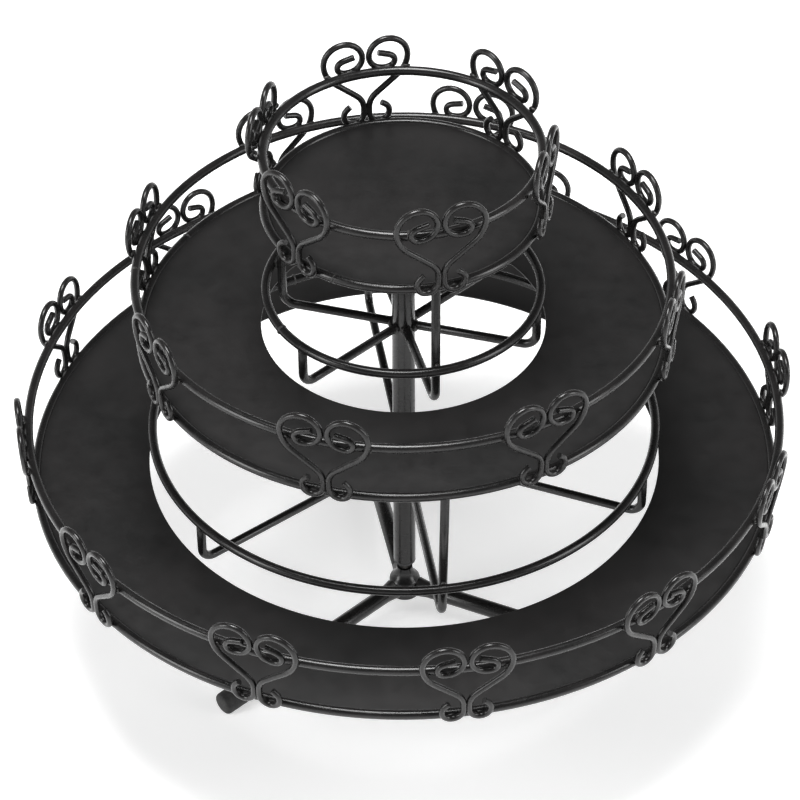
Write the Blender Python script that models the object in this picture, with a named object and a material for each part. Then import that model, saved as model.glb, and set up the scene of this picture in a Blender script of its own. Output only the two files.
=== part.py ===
"""Rotating three-tier nail polish rack: a welded wire carousel that turns on a tripod stand.

Metres, +Z up. The origin is on the floor, on the axis that the carousel turns about.
"""

import math

import bmesh
import bpy
from mathutils import Matrix, Vector

MM = 0.001
GAP = 0.3 * MM  # left between pieces that touch

# Wire and sheet stock
RING_WIRE = 4.6 * MM
SPOKE_WIRE = 4.4 * MM
HEART_WIRE = 3.1 * MM
SHEET = 1.0 * MM

# Carousel heights: the lowest base wire's centre, then how far each tier's rises over the one below
BOTTOM_TIER_Z = 107.6 * MM
MIDDLE_RISE = 84.2 * MM
TOP_RISE = 72.3 * MM
RAIL_RISE = 30.5 * MM  # outer rail over the base wire
GUARD_RISE = 22.3 * MM  # inner guard ring over the base wire
SHEET_RISE = 0.1 * MM  # underside of the sheet over the base wire's centre
SPOKE_DROP = 0.6 * MM  # spoke centre line under the base wire's centre

# Angles of the first leg, and of the first spoke and heart of each tier
FIRST_LEG_ANGLE = math.radians(-20.0)
BOTTOM_ANGLE = math.radians(-21.6)
MIDDLE_ANGLE = math.radians(-16.0)
TOP_ANGLE = math.radians(-15.5)
SPOKES = 6
LEGS = 3

# Hearts: two mirrored scrolls of bent wire
WAIST_HALF = 1.35 * MM
WAIST_DROP = 2.0 * MM  # the waist under the heart's datum
HEART_LIFT = 10.8 * MM  # the heart's datum over the base wire's centre

# Stand
HUB_RADIUS = 8.0 * MM
HUB_HEIGHT = 11.0 * MM
HUB_Z = 15.6 * MM
HUB_NECK_Z = 28.0 * MM  # top of the cone that runs up round the spindle
HUB_NECK_WALL = 0.6 * MM
LEG_RADIUS = 4.25 * MM
LEG_END = Vector((0.1195, 0.0, 0.0053))
FOOT_RADIUS = 6.0 * MM
FOOT_LENGTH = 20.0 * MM
FOOT_WALL = 2.2 * MM  # rubber past the end of the leg
FOOT_ROUND = 1.4 * MM

# Bearing
SPINDLE_RADIUS = 3.2 * MM
SPINDLE_POINT = 1.4 * MM
TUBE_RADIUS = 5.7 * MM
TUBE_WALL = 1.0 * MM
TUBE_BOTTOM_Z = 34.0 * MM
BUSH_BORE = 3.55 * MM
BUSH_LENGTH = 12.0 * MM
BUSH_FLANGE = 1.2 * MM
CAP_LENGTH = 14.0 * MM
CAP_CROWN = 4.0 * MM

# How finely round shapes are cut into flats
RING_SIDES = 6
HEART_SIDES = 4
TURNED_SIDES = 20
ARC_STEP = math.radians(45.0)
BEND_STEP = math.radians(22.5)
LEG_SIDES = 12
SHARP_ANGLE = math.radians(50.0)
MERGE = 0.001 * MM


class Tier:
    """One level of the carousel: its ring sizes and how many hearts go round it."""

    def __init__(self, name, z, first_angle, base_radius, rail_radius, hearts, segments):
        self.name = name
        self.z = z
        self.first_angle = first_angle
        self.base_radius = base_radius
        self.rail_radius = rail_radius
        self.hearts = hearts
        self.segments = segments


BOTTOM = Tier("bottom", BOTTOM_TIER_Z, BOTTOM_ANGLE, 185.2 * MM, 187.0 * MM, 12, 56)
MIDDLE = Tier("middle", BOTTOM.z + MIDDLE_RISE, MIDDLE_ANGLE, 128.4 * MM, 129.4 * MM, 8, 40)
TOP = Tier("top", MIDDLE.z + TOP_RISE, TOP_ANGLE, 65.8 * MM, 65.8 * MM, 6, 28)

# Shelf holes, guard rings and the bend of the spokes
BOTTOM_HOLE = 128.5 * MM
BOTTOM_GUARD = 125.9 * MM
MIDDLE_HOLE = 69.5 * MM
MIDDLE_GUARD = 66.8 * MM
GUARD_SEGMENTS = {"bottom": 40, "middle": 28}
BEND_RADIUS = 7.0 * MM
UPRIGHT_LEAN = 7.2 * MM  # a tall bottom upright ends this much further out, against the middle base wire


# ---------------------------------------------------------------- scene, materials, objects


def clear_scene():
    for obj in list(bpy.data.objects):
        bpy.data.objects.remove(obj, do_unlink=True)


def make_material(name, colour, roughness, metallic):
    material = bpy.data.materials.new(name)
    material.use_nodes = True
    shader = material.node_tree.nodes["Principled BSDF"]
    shader.inputs["Base Color"].default_value = (*colour, 1.0)
    shader.inputs["Roughness"].default_value = roughness
    shader.inputs["Metallic"].default_value = metallic
    material.diffuse_color = (*colour, 1.0)
    return material


def make_empty(name, z):
    empty = bpy.data.objects.new(name, None)
    empty.location.z = z
    empty.empty_display_size = 30.0 * MM
    bpy.context.scene.collection.objects.link(empty)
    return empty


def add_object(name, mesh, material, parent, matrix=None):
    """Link a mesh as one named piece, placed in world space and hung from its parent empty."""
    obj = bpy.data.objects.new(name, mesh)
    if not mesh.materials:
        mesh.materials.append(material)
    bpy.context.scene.collection.objects.link(obj)
    obj.parent = parent
    obj.matrix_parent_inverse = Matrix.Translation(-parent.location)
    obj.matrix_basis = matrix or Matrix.Identity(4)
    return obj


def finish_mesh(name, bm):
    bmesh.ops.recalc_face_normals(bm, faces=bm.faces)
    mesh = bpy.data.meshes.new(name)
    bm.to_mesh(mesh)
    bm.free()
    mesh.shade_smooth()
    mesh.set_sharp_from_angle(angle=SHARP_ANGLE)
    return mesh


def around(angle, radius=0.0, z=0.0):
    """Matrix that stands a piece at this angle about the axis, its +X pointing outwards."""
    return Matrix.Rotation(angle, 4, "Z") @ Matrix.Translation((radius, 0.0, z))


# ---------------------------------------------------------------- basic shapes


def swept_wire(name, points, radius, sides, closed=False):
    """Round wire along a flat path: a ring of points at each path point, bridged to the next."""
    count = len(points)
    ahead = []
    for i in range(count):
        before = points[i - 1] if closed or i > 0 else points[i]
        after = points[(i + 1) % count] if closed or i < count - 1 else points[i]
        ahead.append((after - before).normalized())
    flat = next(a.cross(b) for a, b in zip(ahead, ahead[1:]) if a.cross(b).length > 1e-3)
    flat.normalize()
    bm = bmesh.new()
    rings = []
    for point, direction in zip(points, ahead):
        side = flat.cross(direction)
        ring = []
        for k in range(sides):
            turn = math.tau * k / sides
            ring.append(bm.verts.new(point + radius * (side * math.cos(turn) + flat * math.sin(turn))))
        rings.append(ring)
    pairs = list(zip(rings, rings[1:]))
    if closed:
        pairs.append((rings[-1], rings[0]))
    for first, second in pairs:
        for k in range(sides):
            j = (k + 1) % sides
            bm.faces.new((first[k], first[j], second[j], second[k]))
    if not closed:
        bm.faces.new(rings[0])
        bm.faces.new(rings[-1])
    return finish_mesh(name, bm)


def turned(name, profile, sides=TURNED_SIDES):
    """Solid of revolution about Z from a closed profile of (radius, height) points."""
    bm = bmesh.new()
    verts = [bm.verts.new((radius, 0.0, height)) for radius, height in profile]
    edges = [bm.edges.new((a, b)) for a, b in zip(verts, verts[1:] + verts[:1])]
    bmesh.ops.spin(
        bm,
        geom=verts + edges,
        cent=(0.0, 0.0, 0.0),
        axis=(0.0, 0.0, 1.0),
        angle=math.tau,
        steps=sides,
        use_merge=True,
    )
    bmesh.ops.remove_doubles(bm, verts=bm.verts, dist=MERGE)
    bmesh.ops.dissolve_degenerate(bm, edges=bm.edges, dist=MERGE)
    on_axis = [edge for edge in bm.edges if all(v.co.xy.length < MERGE for v in edge.verts)]
    bmesh.ops.delete(bm, geom=on_axis, context="EDGES")
    return finish_mesh(name, bm)


def circle_points(radius, z, segments):
    turns = [math.tau * i / segments for i in range(segments)]
    return [Vector((radius * math.cos(t), radius * math.sin(t), z)) for t in turns]


# ---------------------------------------------------------------- hearts


def bent_path(start, heading, moves):
    """Flat path in X and Z of straights and arcs. A move is (radius, turn) or (None, length)."""
    point = Vector(start)
    points = [point.copy()]
    for radius, amount in moves:
        if radius is None:
            point = point + amount * Vector((math.cos(heading), 0.0, math.sin(heading)))
            points.append(point.copy())
            continue
        turn = math.radians(amount)
        steps = max(1, round(abs(turn) / ARC_STEP))
        side = math.copysign(1.0, turn)
        centre = point + side * radius * Vector((-math.sin(heading), 0.0, math.cos(heading)))
        for _ in range(steps):
            heading += turn / steps
            point = centre - side * radius * Vector((-math.sin(heading), 0.0, math.cos(heading)))
            points.append(point.copy())
    return points


def scroll_points():
    """Left half of a heart: from the waist down to the small hook, and up into the big curl."""
    waist = (-WAIST_HALF, 0.0, -WAIST_DROP)
    hook = bent_path(
        waist,
        math.radians(-90.0),
        [
            (None, 4.0 * MM),
            (5.3 * MM, -90.0),
            (4.9 * MM, -90.0),
            (None, 0.8 * MM),
            (4.0 * MM, -50.0),
            (None, 2.6 * MM),
        ],
    )
    curl = bent_path(
        waist,
        math.radians(90.0),
        [
            (9.0 * MM, 50.0),
            (None, 14.6 * MM),
            (14.8 * MM, -50.0),
            (10.4 * MM, -90.0),
            (8.8 * MM, -90.0),
            (7.5 * MM, -90.0),
            (None, 1.8 * MM),
            (3.5 * MM, -165.0),
            (None, 6.4 * MM),
        ],
    )
    return hook[:0:-1] + curl


def make_heart_mesh():
    """The two scrolls, welded at the waist into one piece."""
    left_points = scroll_points()
    right_points = [Vector((-p.x, p.y, p.z)) for p in left_points]
    left = swept_wire("heart", left_points, HEART_WIRE / 2, HEART_SIDES)
    right = swept_wire("heart_right_scroll", right_points, HEART_WIRE / 2, HEART_SIDES)
    heart = bpy.data.objects.new("heart_left_scroll", left)
    scroll = bpy.data.objects.new("heart_right_scroll", right)
    for obj in (heart, scroll):
        bpy.context.scene.collection.objects.link(obj)
    weld = heart.modifiers.new("weld_at_waist", "BOOLEAN")
    weld.operation = "UNION"
    weld.solver = "MANIFOLD"
    weld.object = scroll
    graph = bpy.context.evaluated_depsgraph_get()
    mesh = bpy.data.meshes.new_from_object(heart.evaluated_get(graph))
    for obj in (heart, scroll):
        bpy.data.objects.remove(obj, do_unlink=True)
    mesh.name = "heart"
    mesh.materials.clear()
    return mesh


def make_hearts(tier, heart_mesh, material, parent):
    """Hearts stand against the outside of the rail and the base wire, leaning with them."""
    stand_off = RING_WIRE / 2 + HEART_WIRE / 2 + GAP
    slope = (tier.rail_radius - tier.base_radius) / RAIL_RISE
    for i in range(tier.hearts):
        angle = tier.first_angle + math.tau * i / tier.hearts
        radius = tier.base_radius + stand_off + slope * HEART_LIFT
        place = around(angle, radius, tier.z + HEART_LIFT)
        face_out = Matrix.Rotation(math.radians(90.0), 4, "Z")
        lean = Matrix.Rotation(math.atan(slope), 4, "X")
        name = f"{tier.name}_heart_{i + 1:02d}"
        add_object(name, heart_mesh, material, parent, place @ face_out @ lean)


# ---------------------------------------------------------------- carousel


def make_ring(name, radius, z, segments, material, parent):
    points = circle_points(radius, z, segments)
    mesh = swept_wire(name, points, RING_WIRE / 2, RING_SIDES, closed=True)
    add_object(name, mesh, material, parent)


def make_tier_rings(tier, material, parent):
    make_ring(f"{tier.name}_base_wire", tier.base_radius, tier.z, tier.segments, material, parent)
    rail_z = tier.z + RAIL_RISE
    make_ring(f"{tier.name}_outer_rail", tier.rail_radius, rail_z, tier.segments, material, parent)


def make_shelf(tier, hole, material, parent):
    """Flat sheet ring inside the base wire. With no hole it is a full disc."""
    outer = tier.base_radius - RING_WIRE / 2 - GAP
    low = tier.z + SHEET_RISE
    high = low + SHEET
    profile = [(hole, low), (outer, low), (outer, high), (hole, high)]
    name = f"{tier.name}_tray" if hole == 0.0 else f"{tier.name}_shelf"
    add_object(name, turned(name, profile, tier.segments), material, parent)


def upright_path(reach, lean_out, top_z, spoke_z):
    """Spoke from the tube, bent up at its outer end into an upright that may lean outwards."""
    start = TUBE_RADIUS + GAP
    points = [Vector((start, 0.0, spoke_z))]
    lean = math.atan2(lean_out, top_z - spoke_z)
    turn = math.radians(90.0) - lean
    steps = round(turn / BEND_STEP)
    bend_start = reach - BEND_RADIUS * math.tan(turn / 2)
    for k in range(steps + 1):
        a = turn * k / steps
        across = bend_start + BEND_RADIUS * math.sin(a)
        points.append(Vector((across, 0.0, spoke_z + BEND_RADIUS * (1 - math.cos(a)))))
    points.append(Vector((reach + lean_out, 0.0, top_z)))
    return points


def make_spokes(tier, guard_radius, tall, material, parent):
    """Six bent rods. Every second one runs on past the guard ring to carry the tier above."""
    spoke_z = tier.z - SPOKE_DROP
    under_guard = tier.z + GUARD_RISE - RING_WIRE / 2 - GAP
    for i in range(SPOKES):
        if i % 2:
            reach, lean_out, top_z = tall
        else:
            reach, lean_out, top_z = guard_radius, 0.0, under_guard
        name = f"{tier.name}_spoke_{i + 1}"
        points = upright_path(reach, lean_out, top_z, spoke_z)
        mesh = swept_wire(name, points, SPOKE_WIRE / 2, RING_SIDES)
        add_object(name, mesh, material, parent, around(tier.first_angle + math.tau * i / SPOKES))


def under_tray_z():
    """Height at which the tube and its cap end, just under the tray."""
    return TOP.z + SHEET_RISE - GAP


def make_centre_tube(material, parent):
    inner = TUBE_RADIUS - TUBE_WALL
    top = under_tray_z()
    profile = [(inner, TUBE_BOTTOM_Z), (TUBE_RADIUS, TUBE_BOTTOM_Z), (TUBE_RADIUS, top), (inner, top)]
    add_object("centre_tube", turned("centre_tube", profile), material, parent)


def make_lower_bush(material, parent):
    """Flanged sleeve pushed up into the foot of the tube."""
    sleeve = TUBE_RADIUS - TUBE_WALL - GAP
    flange_top = TUBE_BOTTOM_Z - GAP
    flange_bottom = flange_top - BUSH_FLANGE
    top = TUBE_BOTTOM_Z + BUSH_LENGTH
    profile = [
        (BUSH_BORE, flange_bottom),
        (TUBE_RADIUS - BUSH_FLANGE / 2, flange_bottom),
        (TUBE_RADIUS, flange_bottom + BUSH_FLANGE / 2),
        (TUBE_RADIUS, flange_top),
        (sleeve, flange_top),
        (sleeve, top),
        (BUSH_BORE, top),
    ]
    add_object("lower_bush", turned("lower_bush", profile), material, parent)


def make_pivot_cap(material, parent):
    """Blind cup in the head of the tube. Its crown rests on the spindle's point."""
    sleeve = TUBE_RADIUS - TUBE_WALL - GAP
    top = under_tray_z()
    crown = top - CAP_CROWN
    bottom = top - CAP_LENGTH
    profile = [
        (0.0, crown),
        (BUSH_BORE - SPINDLE_POINT, crown),
        (BUSH_BORE, crown - SPINDLE_POINT),
        (BUSH_BORE, bottom),
        (sleeve, bottom),
        (sleeve, top),
        (0.0, top),
    ]
    add_object("pivot_cap", turned("pivot_cap", profile), material, parent)


# ---------------------------------------------------------------- stand


def make_spindle(material, parent):
    low = HUB_Z - HUB_HEIGHT / 2
    high = under_tray_z() - CAP_CROWN - GAP
    profile = [
        (0.0, low),
        (SPINDLE_RADIUS, low),
        (SPINDLE_RADIUS, high - SPINDLE_POINT),
        (SPINDLE_RADIUS - SPINDLE_POINT, high),
        (0.0, high),
    ]
    add_object("spindle", turned("spindle", profile), material, parent)


def make_hub(material, parent):
    """Boss that the legs are welded to, coned in to the spindle at its top."""
    bore = SPINDLE_RADIUS + GAP
    low = HUB_Z - HUB_HEIGHT / 2
    high = HUB_Z + HUB_HEIGHT / 2
    profile = [
        (bore, low),
        (HUB_RADIUS, low),
        (HUB_RADIUS, high),
        (bore + HUB_NECK_WALL, HUB_NECK_Z),
        (bore, HUB_NECK_Z),
    ]
    add_object("base_hub", turned("base_hub", profile), material, parent)


def leg_line():
    """Ends of a leg's centre line, for a leg that points along +X."""
    return Vector((HUB_RADIUS + 2 * GAP, 0.0, HUB_Z)), LEG_END


def leg_matrix(angle, distance_from_end):
    """Frame on a leg with +Z along it, this far back from its outer end."""
    start, end = leg_line()
    along = (end - start).normalized()
    turn = Vector((0.0, 0.0, 1.0)).rotation_difference(along).to_matrix().to_4x4()
    return around(angle) @ Matrix.Translation(end - along * distance_from_end) @ turn


def make_legs(material, parent):
    start, end = leg_line()
    length = (end - start).length
    profile = [(0.0, 0.0), (LEG_RADIUS, 0.0), (LEG_RADIUS, length), (0.0, length)]
    for i in range(LEGS):
        angle = FIRST_LEG_ANGLE + math.tau * i / LEGS
        name = f"leg_{i + 1}"
        mesh = turned(name, profile, LEG_SIDES)
        add_object(name, mesh, material, parent, leg_matrix(angle, length))


def make_feet(material, parent):
    """Rubber caps over the ends of the legs, worn flat where they stand on the floor."""
    bore = LEG_RADIUS + GAP
    crown = FOOT_LENGTH - FOOT_WALL
    profile = [
        (bore, 0.0),
        (FOOT_RADIUS, 0.0),
        (FOOT_RADIUS, FOOT_LENGTH - FOOT_ROUND),
        (FOOT_RADIUS - FOOT_ROUND, FOOT_LENGTH),
        (0.0, FOOT_LENGTH),
        (0.0, crown),
        (bore, crown),
    ]
    for i in range(LEGS):
        angle = FIRST_LEG_ANGLE + math.tau * i / LEGS
        name = f"foot_{i + 1}"
        mesh = turned(name, profile)
        matrix = leg_matrix(angle, crown - GAP)
        cut_flat(mesh, matrix)
        add_object(name, mesh, material, parent, matrix)


def cut_flat(mesh, matrix):
    """Slice off what would reach below the floor, and close the cut with one flat face."""
    bm = bmesh.new()
    bm.from_mesh(mesh)
    bm.transform(matrix)
    cut = bmesh.ops.bisect_plane(
        bm,
        geom=bm.verts[:] + bm.edges[:] + bm.faces[:],
        plane_co=(0.0, 0.0, 0.0),
        plane_no=(0.0, 0.0, 1.0),
        clear_inner=True,
    )
    rim = [item for item in cut["geom_cut"] if isinstance(item, bmesh.types.BMEdge)]
    bmesh.ops.holes_fill(bm, edges=rim)
    bmesh.ops.recalc_face_normals(bm, faces=bm.faces)
    bm.transform(matrix.inverted())
    bm.to_mesh(mesh)
    bm.free()


# ---------------------------------------------------------------- assembly


def build():
    clear_scene()
    wire_black = make_material("black_coated_wire", (0.012, 0.012, 0.013), 0.32, 0.0)
    sheet_black = make_material("black_coated_sheet", (0.014, 0.014, 0.015), 0.45, 0.0)
    blackened = make_material("blackened_steel", (0.05, 0.05, 0.05), 0.35, 1.0)
    nylon = make_material("black_nylon", (0.02, 0.02, 0.02), 0.5, 0.0)
    rubber = make_material("black_rubber", (0.02, 0.02, 0.02), 0.8, 0.0)

    stand = make_empty("stand", 0.0)
    carousel = make_empty("carousel", HUB_Z)

    make_hub(wire_black, stand)
    make_spindle(blackened, stand)
    make_legs(wire_black, stand)
    make_feet(rubber, stand)

    make_centre_tube(wire_black, carousel)
    make_lower_bush(nylon, carousel)
    make_pivot_cap(nylon, carousel)
    heart_mesh = make_heart_mesh()
    for tier in (BOTTOM, MIDDLE, TOP):
        make_tier_rings(tier, wire_black, carousel)
        make_hearts(tier, heart_mesh, wire_black, carousel)
    make_shelf(BOTTOM, BOTTOM_HOLE, sheet_black, carousel)
    make_shelf(MIDDLE, MIDDLE_HOLE, sheet_black, carousel)
    make_shelf(TOP, 0.0, sheet_black, carousel)
    for tier, guard in ((BOTTOM, BOTTOM_GUARD), (MIDDLE, MIDDLE_GUARD)):
        name = f"{tier.name}_guard_ring"
        make_ring(name, guard, tier.z + GUARD_RISE, GUARD_SEGMENTS[tier.name], wire_black, carousel)

    beside_guard = (RING_WIRE + SPOKE_WIRE) / 2 + 2 * GAP
    bottom_reach = BOTTOM_GUARD - beside_guard - UPRIGHT_LEAN * GUARD_RISE / MIDDLE_RISE
    under_wire = RING_WIRE / 2 + GAP
    tall_bottom = (bottom_reach, UPRIGHT_LEAN, MIDDLE.z - under_wire)
    tall_middle = (MIDDLE_GUARD - beside_guard, 0.0, TOP.z - under_wire)
    make_spokes(BOTTOM, BOTTOM_GUARD, tall_bottom, wire_black, carousel)
    make_spokes(MIDDLE, MIDDLE_GUARD, tall_middle, wire_black, carousel)


build()
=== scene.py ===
"""Looks of the rotating nail polish rack: smooth coated wire, sheet, welds, lights and camera."""

import math
import random

import bmesh
import bpy
from mathutils import Matrix, Vector, noise


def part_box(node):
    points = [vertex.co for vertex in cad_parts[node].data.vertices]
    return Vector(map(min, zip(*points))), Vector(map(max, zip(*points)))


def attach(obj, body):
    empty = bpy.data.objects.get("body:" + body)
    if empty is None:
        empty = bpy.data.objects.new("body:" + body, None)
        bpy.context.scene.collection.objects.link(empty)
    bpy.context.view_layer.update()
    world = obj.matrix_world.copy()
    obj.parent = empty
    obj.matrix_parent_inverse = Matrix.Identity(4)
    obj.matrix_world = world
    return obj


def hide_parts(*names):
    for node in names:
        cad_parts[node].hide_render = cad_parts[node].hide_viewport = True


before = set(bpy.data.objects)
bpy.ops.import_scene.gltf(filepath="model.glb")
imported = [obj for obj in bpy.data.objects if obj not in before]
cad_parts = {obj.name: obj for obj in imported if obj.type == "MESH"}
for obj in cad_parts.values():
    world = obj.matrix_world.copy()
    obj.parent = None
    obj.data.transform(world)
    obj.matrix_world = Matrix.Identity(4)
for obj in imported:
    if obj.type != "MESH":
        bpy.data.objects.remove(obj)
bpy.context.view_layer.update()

MM = 0.001
CAROUSEL = "carousel"
STAND = "stand"

# Sizes that the CAD model has too
RING_WIRE = 4.6 * MM
SPOKE_WIRE = 4.4 * MM
HEART_WIRE = 3.1 * MM
BEND_RADIUS = 7.0 * MM  # of a spoke's centre line where it turns up
UPRIGHT_LEAN = {"bottom": 7.2 * MM, "middle": 0.0}
HEART_LIFT = 10.8 * MM  # from the base wire up to a heart's own origin
HEART_WAIST = 1.35 * MM  # from the middle of a heart to the centre line of its wire at the waist
WAIST_DROP = 2.0 * MM  # from a heart's origin down to its waist
HEART_COUNT = {"bottom": 12, "middle": 8, "top": 6}
SPOKE_COUNT = 6
LEG_COUNT = 3

# How pieces sink into each other where they are welded
HEART_BITE = 0.7 * MM
WELD_BITE = 0.45 * MM
SHEET_BITE = 0.6 * MM
LEG_BITE = 1.0 * MM

# How uneven the handwork is
MAX_SWAY = math.radians(0.5)  # lean of a heart out of plumb
HOOK_SPREAD = 8.0  # degrees by which a heart's small hook opens or closes
CURL_SPREAD = 6.0  # the same for the last wide bend of its curl
TIP_SPREAD = 10.0  # the same for the tip of its curl
BEAD_LUMPS = 0.22  # broad lumps of a weld bead, as a share of its size
BEAD_RIPPLES = 0.05  # fine ripples of a weld bead

# How finely round shapes are drawn
RING_STEPS = {"bottom": 288, "middle": 224, "top": 144}
RING_SIDES = 20
ROD_SIDES = 18
LEG_SIDES = 28
HEART_SIDES = 14
FOOT_STEPS = 48
SHEET_STEPS = 256
TURNED_STEPS = 64
BEND_STEPS = 14
EASING_PASSES = 10
PATH_STEP = 0.55 * MM

UP = Vector((0.0, 0.0, 1.0))
SIDEWAYS = Vector((0.0, 1.0, 0.0))  # across a spoke or leg that points along +X, and through a flat heart
SHARP_ANGLE = math.radians(45.0)
ON_AXIS = 1e-7


# ---------------------------------------------------------------- reading the frame


def polar(node):
    """Least and greatest radius about the axis, and lowest and highest point, of a CAD node."""
    points = [v.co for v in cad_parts[node].data.vertices]
    radii = [math.hypot(p.x, p.y) for p in points]
    heights = [p.z for p in points]
    return min(radii), max(radii), min(heights), max(heights)


def azimuth(node):
    """Angle about the axis of the middle of a CAD node."""
    points = [v.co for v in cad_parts[node].data.vertices]
    middle = sum(points, Vector())
    rough = math.atan2(middle.y, middle.x)
    turned_back = [Matrix.Rotation(-rough, 3, "Z") @ p for p in points]
    angles = [math.atan2(p.y, p.x) for p in turned_back]
    return rough + (min(angles) + max(angles)) / 2


def ring_of(node):
    """Centre-line radius and height of a ring of wire."""
    low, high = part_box(node)
    return (high.x - low.x) / 2 - RING_WIRE / 2, (low.z + high.z) / 2


# ---------------------------------------------------------------- materials


class Nodes:
    """Short way to add and link shader nodes."""

    def __init__(self, name):
        self.material = bpy.data.materials.new(name)
        self.material.use_nodes = True
        self.tree = self.material.node_tree
        self.shader = self.tree.nodes["Principled BSDF"]
        self.place = self.tree.nodes.new("ShaderNodeTexCoord")

    def noise(self, scale, detail=3.0, roughness=0.5):
        node = self.tree.nodes.new("ShaderNodeTexNoise")
        node.inputs["Scale"].default_value = scale
        node.inputs["Detail"].default_value = detail
        node.inputs["Roughness"].default_value = roughness
        self.tree.links.new(self.place.outputs["Object"], node.inputs["Vector"])
        return node.outputs["Fac"]

    def map_range(self, value, low, high, start=0.3, end=0.7):
        node = self.tree.nodes.new("ShaderNodeMapRange")
        node.inputs["From Min"].default_value = start
        node.inputs["From Max"].default_value = end
        node.inputs["To Min"].default_value = low
        node.inputs["To Max"].default_value = high
        self.tree.links.new(value, node.inputs["Value"])
        return node.outputs["Result"]

    def ramp(self, value, dark, light):
        node = self.tree.nodes.new("ShaderNodeValToRGB")
        node.color_ramp.elements[0].position = 0.3
        node.color_ramp.elements[0].color = (*dark, 1.0)
        node.color_ramp.elements[1].position = 0.7
        node.color_ramp.elements[1].color = (*light, 1.0)
        self.tree.links.new(value, node.inputs["Fac"])
        return node.outputs["Color"]

    def bump(self, height, distance, strength, after=None):
        node = self.tree.nodes.new("ShaderNodeBump")
        node.inputs["Strength"].default_value = strength
        node.inputs["Distance"].default_value = distance
        self.tree.links.new(height, node.inputs["Height"])
        if after:
            self.tree.links.new(after, node.inputs["Normal"])
        return node.outputs["Normal"]

    def plug(self, socket, value):
        self.tree.links.new(value, self.shader.inputs[socket])

    def fix(self, socket, value):
        self.shader.inputs[socket].default_value = value


def coated_wire():
    """Semi-gloss black powder coat that has flowed out smoothly over round wire."""
    m = Nodes("coated_wire")
    broad = m.noise(55.0, 2.0)
    peel = m.noise(900.0, 2.0)
    grit = m.noise(3800.0, 2.0)
    m.plug("Base Color", m.ramp(broad, (0.007, 0.007, 0.007), (0.014, 0.013, 0.013)))
    m.plug("Roughness", m.map_range(m.noise(240.0), 0.2, 0.3))
    waves = m.bump(peel, 0.00004, 0.4)
    m.plug("Normal", m.bump(grit, 0.000005, 0.3, waves))
    m.fix("Specular IOR Level", 0.35)
    m.fix("Coat Weight", 0.1)
    m.fix("Coat Roughness", 0.1)
    return m.material


def coated_sheet():
    """The same coat on flat sheet: satin, with a fine orange peel and faint handling marks."""
    m = Nodes("coated_sheet")
    broad = m.noise(18.0, 4.0, 0.6)
    peel = m.noise(1100.0, 3.0)
    m.plug("Base Color", m.ramp(broad, (0.007, 0.007, 0.007), (0.014, 0.013, 0.013)))
    m.plug("Roughness", m.map_range(m.noise(90.0, 5.0, 0.7), 0.36, 0.5))
    m.plug("Normal", m.bump(peel, 0.00004, 0.5))
    m.fix("Specular IOR Level", 0.35)
    return m.material


def weld_coat():
    """Coat over a weld bead: duller and lumpier than on the wire."""
    m = Nodes("coated_weld")
    m.plug("Base Color", m.ramp(m.noise(300.0), (0.010, 0.010, 0.010), (0.024, 0.022, 0.021)))
    m.plug("Roughness", m.map_range(m.noise(700.0), 0.3, 0.5))
    m.plug("Normal", m.bump(m.noise(1500.0, 4.0), 0.00008, 0.5))
    m.fix("Specular IOR Level", 0.5)
    return m.material


def rubber():
    """Matt moulded rubber, a little dusty."""
    m = Nodes("rubber_foot")
    m.plug("Base Color", m.ramp(m.noise(400.0), (0.014, 0.014, 0.014), (0.035, 0.034, 0.033)))
    m.plug("Roughness", m.map_range(m.noise(900.0, 4.0), 0.62, 0.85))
    m.plug("Normal", m.bump(m.noise(2600.0, 3.0), 0.0001, 0.5))
    return m.material


def dark_steel():
    """Blackened spindle rod with fine marks from turning."""
    m = Nodes("blackened_steel")
    m.fix("Metallic", 1.0)
    m.plug("Base Color", m.ramp(m.noise(500.0), (0.035, 0.034, 0.033), (0.075, 0.072, 0.068)))
    m.plug("Roughness", m.map_range(m.noise(1400.0), 0.28, 0.45))
    m.plug("Normal", m.bump(m.noise(2400.0, 2.0), 0.00005, 0.4))
    return m.material


def black_nylon():
    """Moulded bearing plastic with a soft shine."""
    m = Nodes("black_nylon")
    m.plug("Base Color", m.ramp(m.noise(350.0), (0.016, 0.016, 0.017), (0.028, 0.028, 0.029)))
    m.plug("Roughness", m.map_range(m.noise(800.0), 0.42, 0.58))
    m.plug("Normal", m.bump(m.noise(1800.0), 0.00006, 0.4))
    return m.material


def floor_paint():
    """Matt white floor that glows a little, so that shadows stay pale."""
    m = Nodes("pale_floor")
    m.plug("Base Color", m.ramp(m.noise(3.0, 4.0), (0.86, 0.86, 0.86), (0.9, 0.9, 0.9)))
    m.plug("Roughness", m.map_range(m.noise(25.0), 0.6, 0.75))
    m.fix("Emission Color", (1.0, 1.0, 1.0, 1.0))
    m.fix("Emission Strength", 0.5)
    return m.material


# ---------------------------------------------------------------- meshes


def to_piece(name, bm, material, body, nodes=(), matrix=None):
    """Turn a bmesh into a smooth piece that rides on a body and stands for CAD nodes."""
    bmesh.ops.recalc_face_normals(bm, faces=bm.faces)
    mesh = bpy.data.meshes.new(name)
    bm.to_mesh(mesh)
    bm.free()
    mesh.shade_smooth()
    mesh.set_sharp_from_angle(angle=SHARP_ANGLE)
    mesh.materials.append(material)
    piece = bpy.data.objects.new(name, mesh)
    bpy.context.scene.collection.objects.link(piece)
    if matrix:
        piece.matrix_world = matrix
    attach(piece, body)
    if nodes:
        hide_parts(*nodes)
    return piece


def around(angle, radius=0.0, z=0.0):
    """Matrix that stands a piece at this angle about the axis, its +X pointing outwards."""
    return Matrix.Rotation(angle, 4, "Z") @ Matrix.Translation((radius, 0.0, z))


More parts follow.
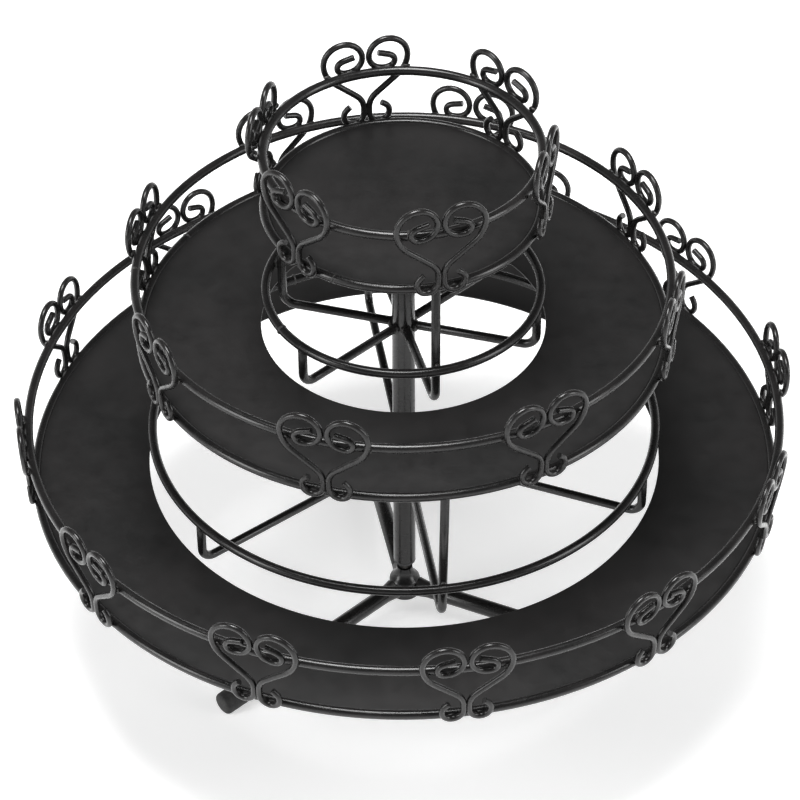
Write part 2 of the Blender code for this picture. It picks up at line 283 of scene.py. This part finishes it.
def directions(points, closed):
    """Unit vectors along a path at each of its points."""
    count = len(points)
    ahead = []
    for i in range(count):
        before = points[i - 1] if closed or i > 0 else points[i]
        after = points[(i + 1) % count] if closed or i < count - 1 else points[i]
        ahead.append((after - before).normalized())
    return ahead


def sweep(bm, points, radius, sides, flat, closed=False):
    """Round wire along a path that lies square to flat. Open ends are sheared off with a small chamfer."""
    chamfer = 0.12 * radius
    widths = [radius] * len(points)
    if not closed:
        ahead = directions(points, closed)
        first, last = points[0], points[-1]
        points = [first, first + ahead[0] * chamfer] + points[1:-1] + [last - ahead[-1] * chamfer, last]
        widths = [radius - chamfer] + [radius] * (len(points) - 2) + [radius - chamfer]
    rings = []
    for point, direction, width in zip(points, directions(points, closed), widths):
        side = flat.cross(direction)
        ring = []
        for k in range(sides):
            turn = math.tau * k / sides
            ring.append(bm.verts.new(point + width * (side * math.cos(turn) + flat * math.sin(turn))))
        rings.append(ring)
    pairs = list(zip(rings, rings[1:]))
    if closed:
        pairs.append((rings[-1], rings[0]))
    for first, second in pairs:
        for k in range(sides):
            j = (k + 1) % sides
            bm.faces.new((first[k], first[j], second[j], second[k]))
    if not closed:
        bm.faces.new(rings[0])
        bm.faces.new(rings[-1])


def turned(bm, profile, steps=TURNED_STEPS):
    """Solid of revolution about Z from a closed profile of (radius, height) points."""
    rings = []
    for radius, height in profile:
        if radius < ON_AXIS:
            rings.append([bm.verts.new((0.0, 0.0, height))])
            continue
        ring = []
        for k in range(steps):
            turn = math.tau * k / steps
            ring.append(bm.verts.new((radius * math.cos(turn), radius * math.sin(turn), height)))
        rings.append(ring)
    for first, second in zip(rings, rings[1:] + rings[:1]):
        if len(first) == 1 and len(second) == 1:
            continue
        for k in range(steps):
            j = (k + 1) % steps
            on_first = [first[k % len(first)], first[j % len(first)]]
            on_second = [second[j % len(second)], second[k % len(second)]]
            bm.faces.new(list(dict.fromkeys(on_first + on_second)))


def rounded(corners, steps=4):
    """Profile whose corners, given as (radius, height, rounding), are turned into small arcs."""
    outline = []
    count = len(corners)
    for i, (x, z, size) in enumerate(corners):
        here = Vector((x, z))
        if size == 0.0:
            outline.append((x, z))
            continue
        before = Vector(corners[i - 1][:2]) - here
        after = Vector(corners[(i + 1) % count][:2]) - here
        start = here + before.normalized() * size
        end = here + after.normalized() * size
        for k in range(steps + 1):
            t = k / steps
            point = (1 - t) ** 2 * start + 2 * t * (1 - t) * here + t**2 * end
            outline.append((point.x, point.y))
    return outline


def bead(bm, centre, along, length, width, seed):
    """Weld bead: an egg of metal along a seam, uneven as it cooled."""
    made = bmesh.ops.create_icosphere(bm, subdivisions=3, radius=1.0)
    turn = UP.rotation_difference(along.normalized()).to_matrix()
    shift = seed * Vector((3.7, 1.3, 0.7))
    for vert in made["verts"]:
        broad = BEAD_LUMPS * noise.noise(vert.co * 1.7 + shift)
        fine = BEAD_RIPPLES * noise.noise(vert.co * 5.0 + shift)
        lump = 1.0 + broad + fine
        local = Vector((vert.co.x * width, vert.co.y * width, vert.co.z * length)) * lump
        vert.co = centre + turn @ local


# ---------------------------------------------------------------- hearts


def bent_path(start, heading, moves):
    """Flat path in X and Z of straights and arcs. A move is (radius, turn) or (None, length)."""
    point = Vector(start)
    points = [point.copy()]
    for radius, amount in moves:
        if radius is None:
            steps = max(1, round(amount / PATH_STEP))
            for _ in range(steps):
                point = point + amount / steps * Vector((math.cos(heading), 0.0, math.sin(heading)))
                points.append(point.copy())
            continue
        turn = math.radians(amount)
        steps = max(2, round(abs(turn) * radius / PATH_STEP))
        side = math.copysign(1.0, turn)
        centre = point + side * radius * Vector((-math.sin(heading), 0.0, math.cos(heading)))
        for _ in range(steps):
            heading += turn / steps
            point = centre - side * radius * Vector((-math.sin(heading), 0.0, math.cos(heading)))
            points.append(point.copy())
    return points


def eased(points, passes):
    """The same path with its changes of curvature blended, as a bending jig leaves them."""
    for _ in range(passes):
        middle = [(a + 2 * b + c) / 4 for a, b, c in zip(points, points[1:], points[2:])]
        points = [points[0]] + middle + [points[-1]]
    return points


def scroll_points(spread):
    """Left half of a heart, from its small hook, through the waist, into the big curl.

    spread loosens or tightens the bends a little, so that no two scrolls are quite alike.
    """
    waist = (-HEART_WAIST, 0.0, -WAIST_DROP)
    hook = bent_path(
        waist,
        math.radians(-90.0),
        [
            (None, 4.0 * MM),
            (5.3 * MM, -90.0),
            (4.9 * MM, -90.0),
            (None, 0.8 * MM),
            (4.0 * MM, -50.0 - HOOK_SPREAD * spread),
            (None, 2.6 * MM),
        ],
    )
    curl = bent_path(
        waist,
        math.radians(90.0),
        [
            (9.0 * MM, 50.0),
            (None, 14.6 * MM),
            (14.8 * MM, -50.0),
            (10.4 * MM, -90.0),
            (9.05 * MM, -90.0),
            (7.5 * MM, -90.0 - CURL_SPREAD * spread),
            (None, 1.8 * MM),
            (3.5 * MM, -165.0 + TIP_SPREAD * spread),
            (None, 6.4 * MM),
        ],
    )
    return eased(hook[:0:-1] + curl, EASING_PASSES)


def heart_frame(tier, index):
    """Place of a heart: flat against the outside of the rail and the base wire."""
    base_radius, base_z = ring_of(f"{tier}_base_wire")
    rail_radius, rail_z = ring_of(f"{tier}_outer_rail")
    slope = (rail_radius - base_radius) / (rail_z - base_z)
    stand_off = (RING_WIRE + HEART_WIRE) / 2 - HEART_BITE
    angle = azimuth(f"{tier}_heart_{index + 1:02d}")
    place = around(angle, base_radius + stand_off + slope * HEART_LIFT, base_z + HEART_LIFT)
    return place @ Matrix.Rotation(math.radians(90.0), 4, "Z") @ Matrix.Rotation(math.atan(slope), 4, "X")


def make_heart(tier, index, wire, chance):
    """Two mirrored scrolls of wire, each bent a little differently."""
    bm = bmesh.new()
    flat = -SIDEWAYS
    sway = chance.uniform(-1.0, 1.0) * MAX_SWAY
    lean = Matrix.Rotation(sway, 3, "Y")
    for mirror in (1.0, -1.0):
        points = scroll_points(chance.uniform(-1.0, 1.0))
        points = [lean @ Vector((mirror * p.x, 0.0, p.z)) for p in points]
        sweep(bm, points, HEART_WIRE / 2, HEART_SIDES, flat)
    node = f"{tier}_heart_{index + 1:02d}"
    to_piece(f"{node}_wire", bm, wire, CAROUSEL, [node], heart_frame(tier, index))


def make_heart_welds(tier, weld):
    """Tacks at the waist of each heart, and where its wire crosses the rail and the base wire."""
    base_z = ring_of(f"{tier}_base_wire")[1] + HEART_LIFT
    rail_height = ring_of(f"{tier}_outer_rail")[1] - base_z
    behind = HEART_WIRE / 2
    level = Vector((1.0, 0.0, 0.0))
    width = 0.9 * MM
    waist = Vector((0.0, 0.2 * MM, -4.0 * MM))
    rail_crossing = Vector((19.8 * MM, behind, rail_height))
    base_crossing = Vector((6.7 * MM, behind, -HEART_LIFT + 0.4 * MM))
    bm = bmesh.new()
    for index in range(HEART_COUNT[tier]):
        place = heart_frame(tier, index)
        turn = place.to_3x3()
        spots = [(waist, UP, 2.4 * MM)]
        for side in (-1.0, 1.0):
            mirror = Matrix.Diagonal((side, 1.0, 1.0))
            spots.append((mirror @ rail_crossing, level, 1.9 * MM))
            spots.append((mirror @ base_crossing, level, 2.2 * MM))
        for k, (spot, along, length) in enumerate(spots):
            bead(bm, place @ spot, turn @ along, length, width, index * 7 + k)
    to_piece(f"{tier}_heart_welds", bm, weld, CAROUSEL)


# ---------------------------------------------------------------- carousel


def make_ring(node, tier, wire, weld_bm, seed):
    """Hoop of wire, with the bead where its two ends were butted together."""
    radius, z = ring_of(node)
    bm = bmesh.new()
    steps = RING_STEPS[tier]
    points = []
    for i in range(steps):
        t = math.tau * i / steps
        points.append(Vector((radius * math.cos(t), radius * math.sin(t), z)))
    sweep(bm, points, RING_WIRE / 2, RING_SIDES, UP, closed=True)
    to_piece(f"{node}_hoop", bm, wire, CAROUSEL, [node])
    first_joint = 55.0  # degrees round the hoop
    joint_step = 31.0
    joint_proud = 0.22 * MM
    joint = math.radians(first_joint + joint_step * seed)
    spot = Vector((radius * math.cos(joint), radius * math.sin(joint), z))
    along = Vector((-math.sin(joint), math.cos(joint), 0.0))
    bead(weld_bm, spot, along, 1.5 * MM, RING_WIRE / 2 + joint_proud, seed)


def make_sheet(node, sheet):
    """Shelf or tray: flat sheet with broken edges, its rim let into the base wire."""
    inner, outer, low, high = polar(node)
    outer += SHEET_BITE
    edge = 0.3 * MM
    if node == "top_tray":
        corners = [(0.0, high, 0.0), (0.0, low, 0.0), (outer, low, edge), (outer, high, edge)]
    else:
        corners = [(inner, low, edge), (outer, low, edge), (outer, high, edge), (inner, high, edge)]
    bm = bmesh.new()
    turned(bm, rounded(corners, 3), SHEET_STEPS)
    to_piece(f"{node}_panel", bm, sheet, CAROUSEL, [node])


def spoke_path(reach, lean, spoke_z, top_z, start):
    """Centre line of a rod that runs out from the tube and bends up into an upright."""
    tilt = math.atan2(lean, top_z - spoke_z)
    turn = math.radians(90.0) - tilt
    bend_start = reach - BEND_RADIUS * math.tan(turn / 2)
    points = [Vector((start, 0.0, spoke_z))]
    for k in range(BEND_STEPS + 1):
        a = turn * k / BEND_STEPS
        across = bend_start + BEND_RADIUS * math.sin(a)
        points.append(Vector((across, 0.0, spoke_z + BEND_RADIUS * (1 - math.cos(a)))))
    points.append(Vector((reach + lean, 0.0, top_z)))
    return points


def make_spoke(tier, index, wire, weld_bm):
    """Bent rod from the tube to the guard ring, or on up to the tier above."""
    node = f"{tier}_spoke_{index + 1}"
    _, outer, low, high = polar(node)
    tall = index % 2 == 1
    rod = SPOKE_WIRE / 2
    lean = UPRIGHT_LEAN[tier] if tall else 0.0
    reach = outer - rod - lean
    rise = 0.866  # centre line over the CAD rod's lowest point, in radii: it lies 0.3 mm low
    spoke_z = low + rise * rod
    tube_radius = polar("centre_tube")[1]
    points = spoke_path(reach, lean, spoke_z, high + WELD_BITE, tube_radius - WELD_BITE)
    bm = bmesh.new()
    sweep(bm, points, rod, ROD_SIDES, SIDEWAYS)
    turn = around(azimuth(node))
    to_piece(f"{node}_rod", bm, wire, CAROUSEL, [node], turn)

    seed = index * 5
    across = turn.to_3x3() @ SIDEWAYS
    at_tube = tube_radius + 0.5 * MM
    tube_weld = 1.2 * MM
    for side in (-1.0, 1.0):
        beside_rod = Vector((at_tube, side * rod * 0.8, spoke_z - 0.4 * MM))
        bead(weld_bm, turn @ beside_rod, UP, 2.0 * MM, tube_weld, seed + side)
    under_rod = Vector((at_tube, 0.0, spoke_z - rod))
    bead(weld_bm, turn @ under_rod, across, 2.2 * MM, tube_weld, seed + 2)
    head = Vector((reach + lean, 0.0, high + 0.1 * MM))
    bead(weld_bm, turn @ head, across, 3.0 * MM, 1.7 * MM, seed + 3)
    if tall:
        guard_radius, guard_z = ring_of(f"{tier}_guard_ring")
        beside_guard = Vector((guard_radius - RING_WIRE / 2, 0.0, guard_z))
        bead(weld_bm, turn @ beside_guard, UP, 2.6 * MM, 1.3 * MM, seed + 4)


def make_tube(wire):
    """Straight pipe that the spokes are welded to, its head let into the tray."""
    inner, outer, low, high = polar("centre_tube")
    edge = 0.35 * MM
    top = high + WELD_BITE
    corners = [(inner, low, edge), (outer, low, edge), (outer, top, 0.0), (inner, top, 0.0)]
    bm = bmesh.new()
    turned(bm, rounded(corners))
    to_piece("centre_tube_pipe", bm, wire, CAROUSEL, ["centre_tube"])


def make_lower_bush(nylon):
    """Flanged plastic bush in the foot of the tube."""
    inner, outer, low, high = polar("lower_bush")
    flange_top = polar("centre_tube")[2]
    flange_width = 1.3 * MM
    sleeve = outer - flange_width
    edge = 0.2 * MM
    corners = [
        (inner, low, edge),
        (outer, low, 0.4 * MM),
        (outer, flange_top, edge),
        (sleeve, flange_top, 0.0),
        (sleeve, high, 0.3 * MM),
        (inner, high, edge),
    ]
    bm = bmesh.new()
    turned(bm, rounded(corners))
    to_piece("lower_bush_sleeve", bm, nylon, CAROUSEL, ["lower_bush"])


def make_pivot_cap(nylon):
    """Blind plastic cap in the head of the tube, which rests on the spindle's tip."""
    _, outer, low, high = polar("pivot_cap")
    bore = polar("lower_bush")[0]
    crown = polar("spindle")[3] + 0.3 * MM
    corners = [
        (0.0, crown, 0.0),
        (bore, crown, 1.2 * MM),
        (bore, low, 0.3 * MM),
        (outer, low, 0.3 * MM),
        (outer, high, 0.4 * MM),
        (0.0, high, 0.0),
    ]
    bm = bmesh.new()
    turned(bm, rounded(corners))
    to_piece("pivot_cap_cup", bm, nylon, CAROUSEL, ["pivot_cap"])


# ---------------------------------------------------------------- stand


def make_spindle(steel):
    """Round rod with a rounded tip."""
    _, outer, low, high = polar("spindle")
    corners = [(0.0, low, 0.0), (outer, low, 0.4 * MM), (outer, high, 1.6 * MM), (0.0, high, 0.0)]
    bm = bmesh.new()
    turned(bm, rounded(corners, 6))
    to_piece("spindle_rod", bm, steel, STAND, ["spindle"])


def make_hub(wire):
    """Boss that flares down from the spindle's neck in one smooth hollow sweep."""
    inner, outer, low, high = polar("base_hub")
    shoulder = low + 10.4 * MM
    neck = inner + 0.5 * MM
    rim = outer - 0.3 * MM
    hollow = 0.9 * MM
    steps = 14
    corners = [(inner, high, 0.0)]
    for k in range(steps + 1):
        t = k / steps
        radius = neck + (rim - neck) * t - hollow * math.sin(math.pi * t)
        corners.append((radius, high + (shoulder - high) * t, 0.0))
    corners += [(outer, shoulder - 0.8 * MM, 0.3 * MM), (outer, low, 0.8 * MM), (inner, low, 0.2 * MM)]
    bm = bmesh.new()
    turned(bm, rounded(corners))
    to_piece("base_hub_boss", bm, wire, STAND, ["base_hub"])


def leg_ends():
    """Ends of a leg's centre line at angle zero, and the leg's radius, from the CAD leg."""
    turn = Matrix.Rotation(-azimuth("leg_1"), 3, "Z")
    points = [turn @ v.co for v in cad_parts["leg_1"].data.vertices]
    near = min(p.x for p in points)
    far = max(p.x for p in points)
    halfway = (near + far) / 2
    inner = [p for p in points if p.x < halfway]
    outer = [p for p in points if p.x > halfway]
    start = sum(inner, Vector()) / len(inner)
    end = sum(outer, Vector()) / len(outer)
    radius = max(abs(p.y) for p in points)
    return start, end, radius


def make_leg(index, wire, foot_rubber, weld_bm):
    """Round leg out from the hub, with its weld and its foot."""
    start, end, radius = leg_ends()
    along = (end - start).normalized()
    turn = around(azimuth(f"leg_{index + 1}"))
    bm = bmesh.new()
    sweep(bm, [start - along * LEG_BITE, (start + end) / 2, end], radius, LEG_SIDES, SIDEWAYS)
    to_piece(f"leg_{index + 1}_rod", bm, wire, STAND, [f"leg_{index + 1}"], turn)
    fillet(weld_bm, start, along, radius, turn, index)
    make_foot(index, end, along, radius, foot_rubber, turn)


def along_z(along):
    """Matrix that turns +Z on to a direction."""
    return UP.rotation_difference(along).to_matrix().to_4x4()


def fillet(weld_bm, start, along, radius, turn, seed):
    """Weld that flares from a leg on to the hub: thick at the hub, run out thin along the leg."""
    length = 9.0 * MM
    build_up = 1.1 * MM
    run_out = 0.15 * MM  # how far the thin end dips under the leg's surface
    set_back = 1.2 * MM
    lumps = 0.16
    rows = 9
    sides = 40
    place = turn @ Matrix.Translation(start - along * set_back) @ along_z(along)
    rings = []
    for row in range(rows + 1):
        t = row / rows
        ring = []
        for k in range(sides):
            a = math.tau * k / sides
            round_leg = Vector((math.cos(a), math.sin(a), 0.0))
            spot = 2.0 * round_leg + (3.0 * t + 5.0 * seed) * UP
            lump = 1.0 + lumps * noise.noise(spot)
            width = radius + build_up * (1.0 - t) ** 2 * lump - run_out * t
            ring.append(weld_bm.verts.new(place @ (width * round_leg + length * t * UP)))
        rings.append(ring)
    for first, second in zip(rings, rings[1:]):
        for k in range(sides):
            j = (k + 1) % sides
            weld_bm.faces.new((first[k], first[j], second[j], second[k]))
    weld_bm.faces.new(rings[0])
    weld_bm.faces.new(rings[-1])


def make_foot(index, leg_end, along, leg_radius, foot_rubber, turn):
    """Push-on rubber cap with two grooves behind its lip, standing flat on the floor."""
    length = 20.0 * MM
    outer = 6.0 * MM
    past = 2.5 * MM  # how far the cap reaches beyond the leg
    bore = leg_radius + 0.05 * MM
    edge = 0.3 * MM
    inner_edge = 0.2 * MM
    slant = 0.4 * MM  # height of a groove's slanted sides
    grooves = [(2.0 * MM, 1.0 * MM, 0.45 * MM), (5.4 * MM, 0.8 * MM, 0.35 * MM)]
    corners = [(bore, 0.0, inner_edge), (outer, 0.0, 0.5 * MM)]
    for start, width, depth in grooves:
        floor = start + slant
        corners += [
            (outer, start, edge),
            (outer - depth, floor, inner_edge),
            (outer - depth, floor + width, inner_edge),
            (outer, floor + width + slant, edge),
        ]
    corners += [
        (outer, length, 2.4 * MM),
        (0.0, length, 0.0),
        (0.0, length - past, 0.0),
        (bore, length - past, inner_edge),
    ]
    bm = bmesh.new()
    turned(bm, rounded(corners), FOOT_STEPS)
    mouth = leg_end + along * (past - length)
    bm.transform(turn @ Matrix.Translation(mouth) @ along_z(along))
    cut = bmesh.ops.bisect_plane(
        bm,
        geom=bm.verts[:] + bm.edges[:] + bm.faces[:],
        plane_co=(0.0, 0.0, 0.0),
        plane_no=UP,
        clear_inner=True,
    )
    rim = [item for item in cut["geom_cut"] if isinstance(item, bmesh.types.BMEdge)]
    bmesh.ops.holes_fill(bm, edges=rim)
    node = f"foot_{index + 1}"
    to_piece(f"{node}_cap", bm, foot_rubber, STAND, [node])


# ---------------------------------------------------------------- floor, lights, camera


def make_floor(material):
    """Wide flat floor."""
    bm = bmesh.new()
    bmesh.ops.create_grid(bm, x_segments=8, y_segments=8, size=20.0)
    mesh = bpy.data.meshes.new("studio_floor")
    bm.to_mesh(mesh)
    bm.free()
    mesh.materials.append(material)
    floor = bpy.data.objects.new("studio_floor", mesh)
    bpy.context.scene.collection.objects.link(floor)


def softbox(name, place, aim, width, height, power):
    data = bpy.data.lights.new(name, "AREA")
    data.shape = "RECTANGLE"
    data.size = width
    data.size_y = height
    data.energy = power
    lamp = bpy.data.objects.new(name, data)
    lamp.location = place
    lamp.rotation_euler = (Vector(aim) - Vector(place)).to_track_quat("-Z", "Y").to_euler()
    bpy.context.scene.collection.objects.link(lamp)


def make_studio():
    """Overhead and side softboxes in a white room whose walls are shaded at mid height."""
    aim = (0.0, 0.0, 0.15)
    softbox("top_softbox", (-0.15, -0.1, 2.2), aim, 1.0, 0.8, 52.0)
    softbox("left_softbox", (-1.9, -0.9, 1.0), aim, 0.7, 1.3, 24.0)
    softbox("right_softbox", (1.9, -0.7, 1.1), aim, 0.7, 1.3, 20.0)
    world = bpy.data.worlds.new("studio_world")
    world.use_nodes = True
    tree = world.node_tree
    background = tree.nodes["Background"]
    place = tree.nodes.new("ShaderNodeTexCoord")
    split = tree.nodes.new("ShaderNodeSeparateXYZ")
    shades = tree.nodes.new("ShaderNodeValToRGB")
    tree.links.new(place.outputs["Generated"], split.inputs["Vector"])
    tree.links.new(split.outputs["Z"], shades.inputs["Fac"])
    tree.links.new(shades.outputs["Color"], background.inputs["Color"])
    levels = [(0.0, 1.0), (0.15, 0.8), (0.4, 0.1), (0.85, 0.1), (1.0, 0.3)]
    while len(shades.color_ramp.elements) < len(levels):
        shades.color_ramp.elements.new(0.5)
    for stop, (height, grey) in zip(shades.color_ramp.elements, levels):
        stop.position = height
        stop.color = (grey, grey, grey, 1.0)
    background.inputs["Strength"].default_value = 1.0
    bpy.context.scene.world = world
    bpy.context.scene.view_settings.view_transform = "Standard"


def make_camera():
    """Long lens, looking down at about 40 degrees from the front."""
    place = Vector((-0.0038, -1.2263, 1.1842))
    down = math.radians(40.38)
    aside = math.radians(0.089)
    roll = math.radians(-0.363)
    ahead = Vector((math.sin(aside) * math.cos(down), math.cos(aside) * math.cos(down), -math.sin(down)))
    level = Vector((math.cos(aside), -math.sin(aside), 0.0))
    upright = level.cross(ahead)
    right = level * math.cos(roll) + upright * math.sin(roll)
    up = -level * math.sin(roll) + upright * math.cos(roll)
    turn = Matrix((right, up, -ahead)).transposed()
    data = bpy.data.cameras.new("camera")
    data.lens = 145.1
    data.sensor_width = 36.0
    camera = bpy.data.objects.new("camera", data)
    camera.matrix_world = Matrix.Translation(place) @ turn.to_4x4()
    bpy.context.scene.collection.objects.link(camera)
    bpy.context.scene.camera = camera


# ---------------------------------------------------------------- assembly


def build():
    """Every piece of the rack, then the floor, the lights and the camera."""
    wire = coated_wire()
    sheet = coated_sheet()
    weld = weld_coat()
    nylon = black_nylon()
    chance = random.Random(7)

    hoop_welds = bmesh.new()
    seed = 0
    for tier in ("bottom", "middle", "top"):
        rings = [f"{tier}_base_wire", f"{tier}_outer_rail"]
        if tier != "top":
            rings.append(f"{tier}_guard_ring")
        for node in rings:
            make_ring(node, tier, wire, hoop_welds, seed)
            seed += 1
        for index in range(HEART_COUNT[tier]):
            make_heart(tier, index, wire, chance)
        make_heart_welds(tier, weld)
    to_piece("hoop_welds", hoop_welds, weld, CAROUSEL)

    for node in ("bottom_shelf", "middle_shelf", "top_tray"):
        make_sheet(node, sheet)
    spoke_welds = bmesh.new()
    for tier in ("bottom", "middle"):
        for index in range(SPOKE_COUNT):
            make_spoke(tier, index, wire, spoke_welds)
    to_piece("spoke_welds", spoke_welds, weld, CAROUSEL)
    make_tube(wire)
    make_lower_bush(nylon)
    make_pivot_cap(nylon)

    make_spindle(dark_steel())
    make_hub(wire)
    leg_welds = bmesh.new()
    foot_rubber = rubber()
    for index in range(LEG_COUNT):
        make_leg(index, wire, foot_rubber, leg_welds)
    to_piece("leg_welds", leg_welds, weld, STAND)

    make_floor(floor_paint())
    make_studio()
    make_camera()


build()
